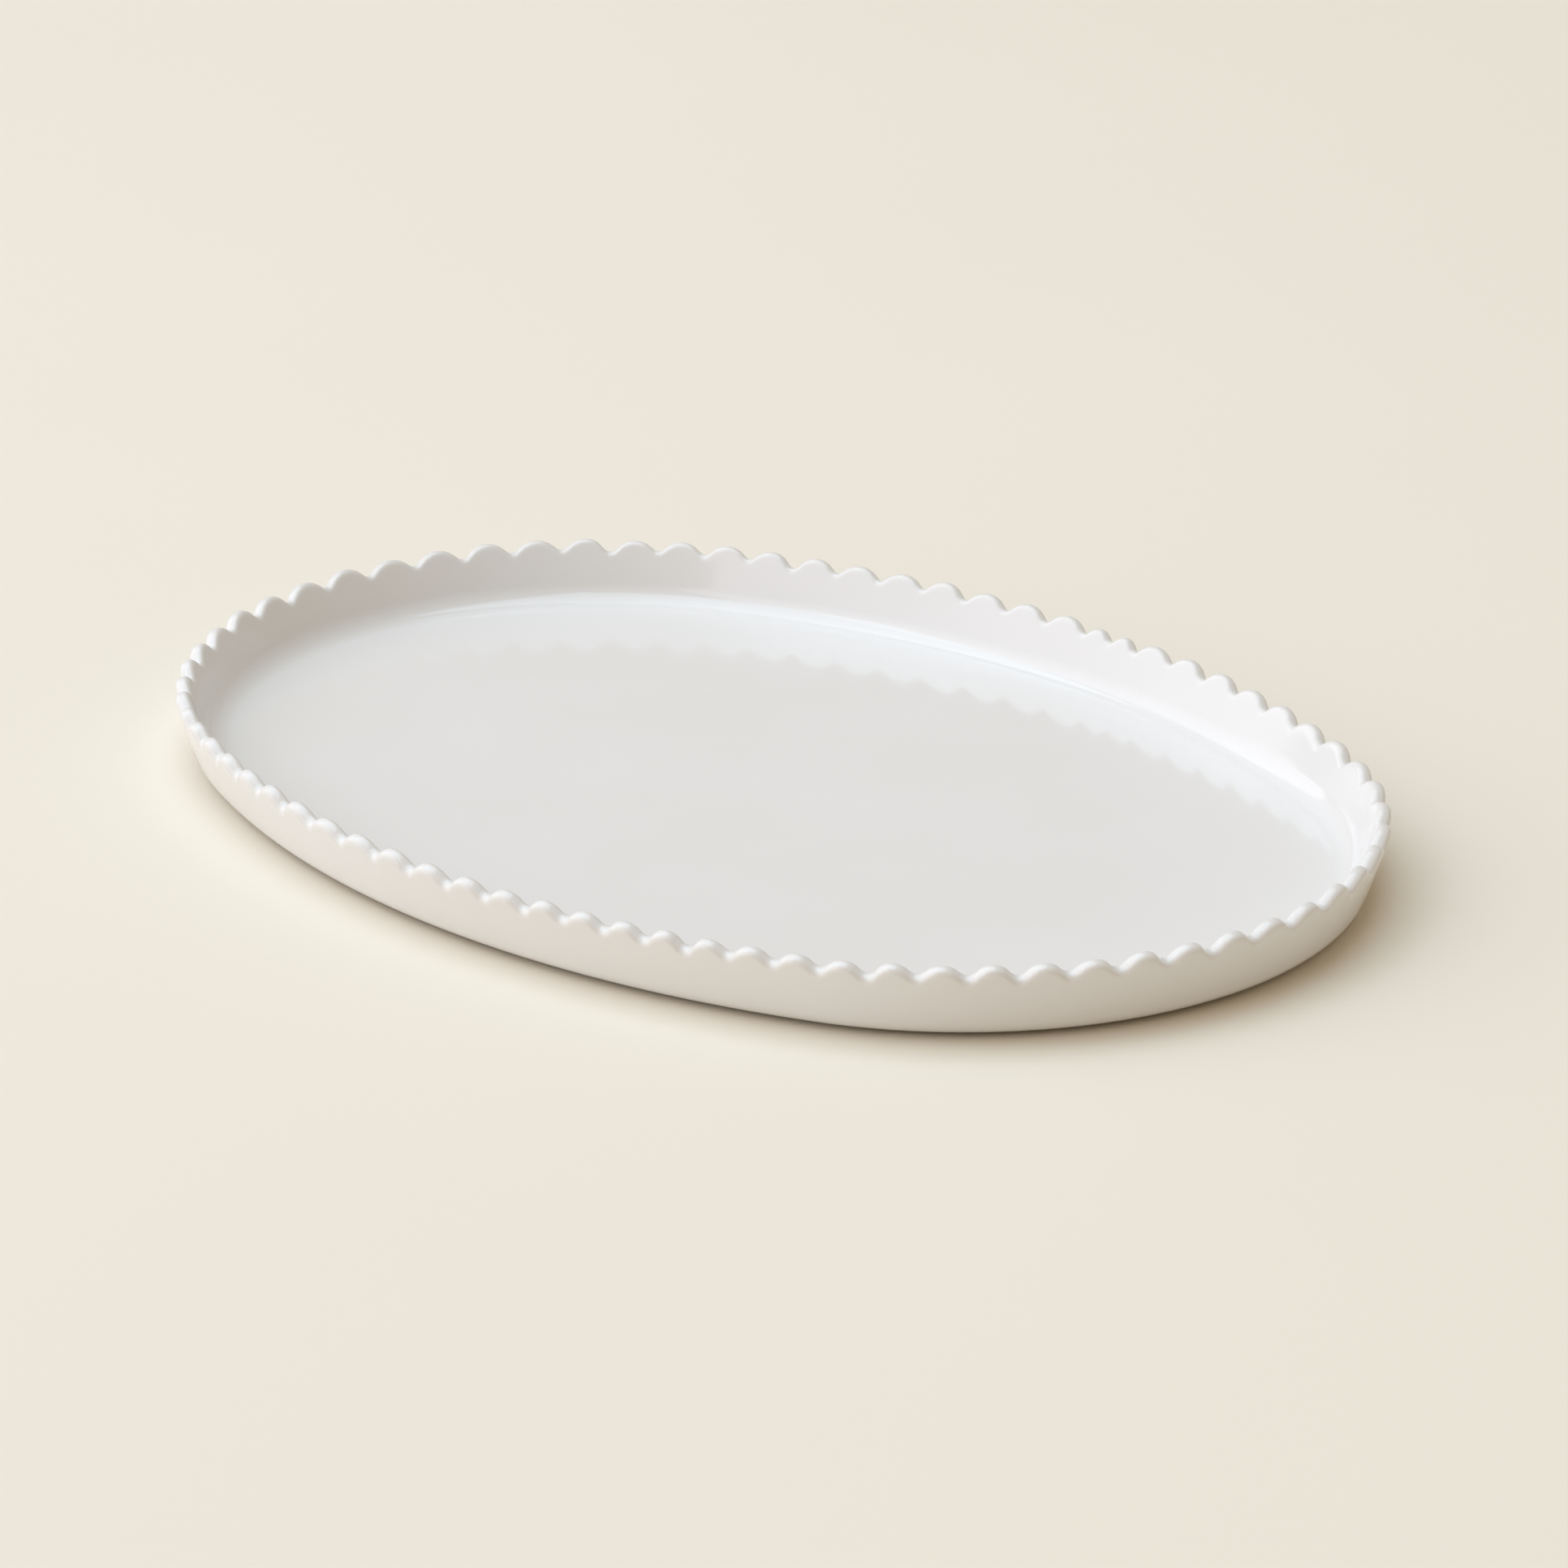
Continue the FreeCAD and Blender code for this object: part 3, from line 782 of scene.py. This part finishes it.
# the view: where the camera stands and what it looks at
CAMERA_AZIMUTH = math.radians(44.7)
CAMERA_ELEVATION = math.radians(21.17)
CAMERA_DISTANCE = 2198 * MM
CAMERA_TARGET = Vector((-13.6, 19.9, 0.0)) * MM
CAMERA_LENS = 167.7
SENSOR_WIDTH = 36.0
CAMERA_CLIP = (0.1, 50.0)
TABLE_SIZE = 14.0

# the soft light of the room round the table
ROOM_TINT = (1.0, 0.795, 0.577)
ROOM_STRENGTH = 0.468


def as_seen(right, away, up):
    """A direction given as the camera's right, away from it and up, in the platter's frame."""
    across = Vector((math.cos(CAMERA_AZIMUTH), math.sin(CAMERA_AZIMUTH), 0.0))
    ahead = Vector((-math.sin(CAMERA_AZIMUTH), math.cos(CAMERA_AZIMUTH), 0.0))
    return right * across + away * ahead + up * Vector((0.0, 0.0, 1.0))


def aim(thing, place, target):
    thing.location = place
    thing.rotation_euler = (target - place).to_track_quat("-Z", "Y").to_euler()


def add_light(name, place, width, height, power, tint):
    """A rectangular soft light aimed at the platter."""
    light = bpy.data.lights.new(name, "AREA")
    light.shape = "RECTANGLE"
    light.size = width
    light.size_y = height
    light.energy = power
    light.color = tint
    thing = bpy.data.objects.new(name, light)
    bpy.context.scene.collection.objects.link(thing)
    aim(thing, place, Vector((0.0, 0.0, 0.0)))


class PLATTER_OT_stage(bpy.types.Operator):
    """Set the pale table, the soft daylight and the camera"""
    bl_idname = "platter.stage"
    bl_label = "Table, light and camera"

    def execute(self, context):
        scene = context.scene
        bm = bmesh.new()
        bmesh.ops.create_grid(bm, x_segments=1, y_segments=1, size=TABLE_SIZE / 2)
        mesh = bpy.data.meshes.new("table_top")
        bm.to_mesh(mesh)
        bm.free()
        mesh.materials.append(table_material(scene.platter_looks))
        table = bpy.data.objects.new("table_top", mesh)
        scene.collection.objects.link(table)

        world = bpy.data.worlds.new("soft_room")
        world.use_nodes = True
        background = world.node_tree.nodes["Background"]
        background.inputs["Color"].default_value = (*ROOM_TINT, 1.0)
        background.inputs["Strength"].default_value = ROOM_STRENGTH
        scene.world = world
        add_light("window", as_seen(right=-5.23, away=-0.46, up=2.91),
                  width=12.0, height=6.0, power=318.0, tint=(0.88, 0.895, 1.0))
        add_light("overhead", as_seen(right=-0.8, away=0.3, up=4.0),
                  width=4.0, height=4.0, power=117.0, tint=(0.636, 0.826, 1.0))
        scene.view_settings.view_transform = "Standard"

        camera = bpy.data.cameras.new("camera")
        camera.lens = CAMERA_LENS
        camera.sensor_width = SENSOR_WIDTH
        camera.clip_start, camera.clip_end = CAMERA_CLIP
        thing = bpy.data.objects.new("camera", camera)
        scene.collection.objects.link(thing)
        back = math.cos(CAMERA_ELEVATION)
        place = CAMERA_TARGET + CAMERA_DISTANCE * as_seen(0.0, -back, math.sin(CAMERA_ELEVATION))
        aim(thing, place, CAMERA_TARGET)
        scene.camera = thing
        return {"FINISHED"}


class VIEW3D_PT_platter(bpy.types.Panel):
    """Sizes, looks and build steps of the serving platter"""
    bl_label = "Serving platter"
    bl_idname = "VIEW3D_PT_platter"
    bl_space_type = "VIEW_3D"
    bl_region_type = "UI"
    bl_category = "Platter"

    def draw(self, context):
        for group in (context.scene.platter_sizes, context.scene.platter_scallops,
                      context.scene.platter_looks):
            box = self.layout.box()
            for name in group.bl_rna.properties.keys():
                if name not in ("rna_type", "name"):
                    box.prop(group, name)
        for operator in OPERATORS:
            self.layout.operator(operator.bl_idname)


OPERATORS = (PLATTER_OT_outer_glaze, PLATTER_OT_clay_body, PLATTER_OT_underside,
             PLATTER_OT_stage)
CLASSES = (PlatterSizes, ScallopSizes, Looks, *OPERATORS, VIEW3D_PT_platter)


def register():
    for item in CLASSES:
        bpy.utils.register_class(item)
    bpy.types.Scene.platter_sizes = PointerProperty(type=PlatterSizes)
    bpy.types.Scene.platter_scallops = PointerProperty(type=ScallopSizes)
    bpy.types.Scene.platter_looks = PointerProperty(type=Looks)


def unregister():
    del bpy.types.Scene.platter_looks
    del bpy.types.Scene.platter_scallops
    del bpy.types.Scene.platter_sizes
    for item in reversed(CLASSES):
        bpy.utils.unregister_class(item)


def main():
    register()
    bpy.ops.platter.outer_glaze()
    bpy.ops.platter.clay_body()
    bpy.ops.platter.underside()
    bpy.ops.platter.stage()


if __name__ == "__main__":
    main()
